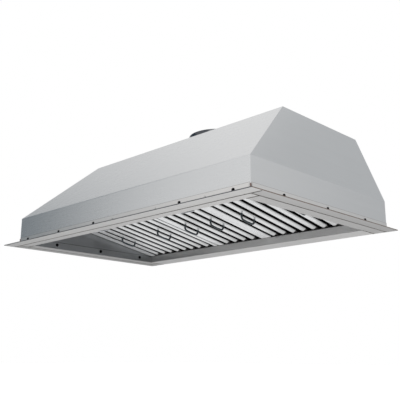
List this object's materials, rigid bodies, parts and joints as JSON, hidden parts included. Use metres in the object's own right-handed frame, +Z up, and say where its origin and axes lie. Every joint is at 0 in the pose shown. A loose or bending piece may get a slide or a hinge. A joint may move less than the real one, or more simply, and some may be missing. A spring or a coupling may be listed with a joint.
{
  "type": "range hood insert",
  "caption": "Sloped brushed-steel canopy insert with trim flange, tilted baffle filters with D handles, round lamps, round duct collar with back-draught flaps and an inner blower.",
  "frame": {"origin": "centre of the trim flange's footprint, on its underside", "axes": "+X to the right along the width, -Y to the cook at the front, +Y to the wall, +Z up"},
  "size_m": [1.1684, 0.7122, 0.3972],
  "materials": {
    "brushed_canopy": "brushed stainless sheet",
    "brushed_trim": "brushed stainless sheet",
    "brushed_liner": "brushed stainless sheet",
    "filter_steel": "bright rolled stainless",
    "handle_steel": "polished rod",
    "black_screw": "black oxide",
    "spring_steel": "spring strip",
    "lamp_metal": "satin",
    "lamp_glass": "frosted",
    "lamp_can": "spun",
    "lamp_module": "die cast",
    "control_steel": "satin",
    "button_metal": "polished",
    "circuit_board": "solder mask",
    "black_collar": "gloss black paint",
    "zinc_steel": "zinc-coated sheet",
    "motor_enamel": "satin enamel",
    "shaft_steel": "ground",
    "terminal_plastic": "moulded",
    "gland_plastic": "moulded nylon",
    "capacitor_can": "moulded"
  },
  "bodies": {
    "canopy": {"front_panel": "brushed_canopy", "left_panel": "brushed_canopy", "right_panel": "brushed_canopy", "back_panel": "brushed_canopy", "top_panel": "brushed_canopy", "front_trim": "brushed_trim", "left_trim": "brushed_trim", "right_trim": "brushed_trim", "front_trim_screws": "black_screw", "side_trim_screws": "black_screw", "liner_screws": "black_screw", "front_lip": "brushed_trim", "left_lip": "brushed_trim", "right_lip": "brushed_trim", "back_lip": "brushed_trim", "left_liner": "brushed_liner", "right_liner": "brushed_liner", "light_panel": "brushed_liner", "filter_clips": "spring_steel", "lamp_bezels": "lamp_metal", "lamp_lenses": "lamp_glass", "lamp_cans": "lamp_can", "lamp_modules": "lamp_module", "control_plate": "control_steel", "control_board": "circuit_board", "duct_collar": "black_collar", "damper_pin": "zinc_steel", "roof_screws": "black_screw", "blower_scroll": "zinc_steel", "blower_cheeks": "zinc_steel", "blower_plate": "zinc_steel", "inlet_rings": "zinc_steel", "motor": "motor_enamel", "motor_bracket": "zinc_steel", "wiring_box": "zinc_steel", "wiring_cover": "zinc_steel", "terminal_block": "terminal_plastic", "cable_gland": "gland_plastic", "capacitor": "capacitor_can"},
    "left_filter": {"left_filter_frame": "filter_steel", "left_filter_baffles": "filter_steel", "left_filter_hoods": "filter_steel", "left_filter_handles": "handle_steel"},
    "centre_filter": {"centre_filter_frame": "filter_steel", "centre_filter_baffles": "filter_steel", "centre_filter_hoods": "filter_steel", "centre_filter_handles": "handle_steel"},
    "right_filter": {"right_filter_frame": "filter_steel", "right_filter_baffles": "filter_steel", "right_filter_hoods": "filter_steel", "right_filter_handles": "handle_steel"},
    "power_button": {"power_button": "button_metal"},
    "slower_button": {"slower_button": "button_metal"},
    "faster_button": {"faster_button": "button_metal"},
    "light_button": {"light_button": "button_metal"},
    "blower_wheel": {"wheel_blades": "zinc_steel", "wheel_discs": "zinc_steel", "motor_shaft": "shaft_steel"},
    "front_flap": {"front_flap": "zinc_steel"},
    "rear_flap": {"rear_flap": "zinc_steel"}
  },
  "joints": [
    {"name": "left_filter_swing", "type": "hinge", "parent": "canopy", "child": "left_filter", "pos_m": [-0.30912, 0.279, 0.0253], "axis": [1, 0, 0], "range_deg": [0, 45]},
    {"name": "centre_filter_swing", "type": "hinge", "parent": "canopy", "child": "centre_filter", "pos_m": [0.00345, 0.279, 0.0253], "axis": [1, 0, 0], "range_deg": [0, 45]},
    {"name": "right_filter_swing", "type": "hinge", "parent": "canopy", "child": "right_filter", "pos_m": [0.30912, 0.279, 0.0253], "axis": [1, 0, 0], "range_deg": [0, 45]},
    {"name": "power_button_press", "type": "slide", "parent": "canopy", "child": "power_button", "axis": [0, -0.1188, 0.9929], "range_m": [0, 0.0025], "stiffness_N_per_m": 400, "springref_m": -0.001},
    {"name": "slower_button_press", "type": "slide", "parent": "canopy", "child": "slower_button", "axis": [0, -0.1188, 0.9929], "range_m": [0, 0.0025], "stiffness_N_per_m": 400, "springref_m": -0.001},
    {"name": "faster_button_press", "type": "slide", "parent": "canopy", "child": "faster_button", "axis": [0, -0.1188, 0.9929], "range_m": [0, 0.0025], "stiffness_N_per_m": 400, "springref_m": -0.001},
    {"name": "light_button_press", "type": "slide", "parent": "canopy", "child": "light_button", "axis": [0, -0.1188, 0.9929], "range_m": [0, 0.0025], "stiffness_N_per_m": 400, "springref_m": -0.001},
    {"name": "blower_wheel_spin", "type": "hinge", "parent": "canopy", "child": "blower_wheel", "pos_m": [0, 0.2249, 0.195], "axis": [1, 0, 0], "continuous": true},
    {"name": "front_flap_swing", "type": "hinge", "parent": "canopy", "child": "front_flap", "pos_m": [0, 0.1474, 0.3512], "axis": [-1, 0, 0], "range_deg": [0, 75]},
    {"name": "rear_flap_swing", "type": "hinge", "parent": "canopy", "child": "rear_flap", "pos_m": [0, 0.1474, 0.3512], "axis": [1, 0, 0], "range_deg": [0, 75]}
  ]
}
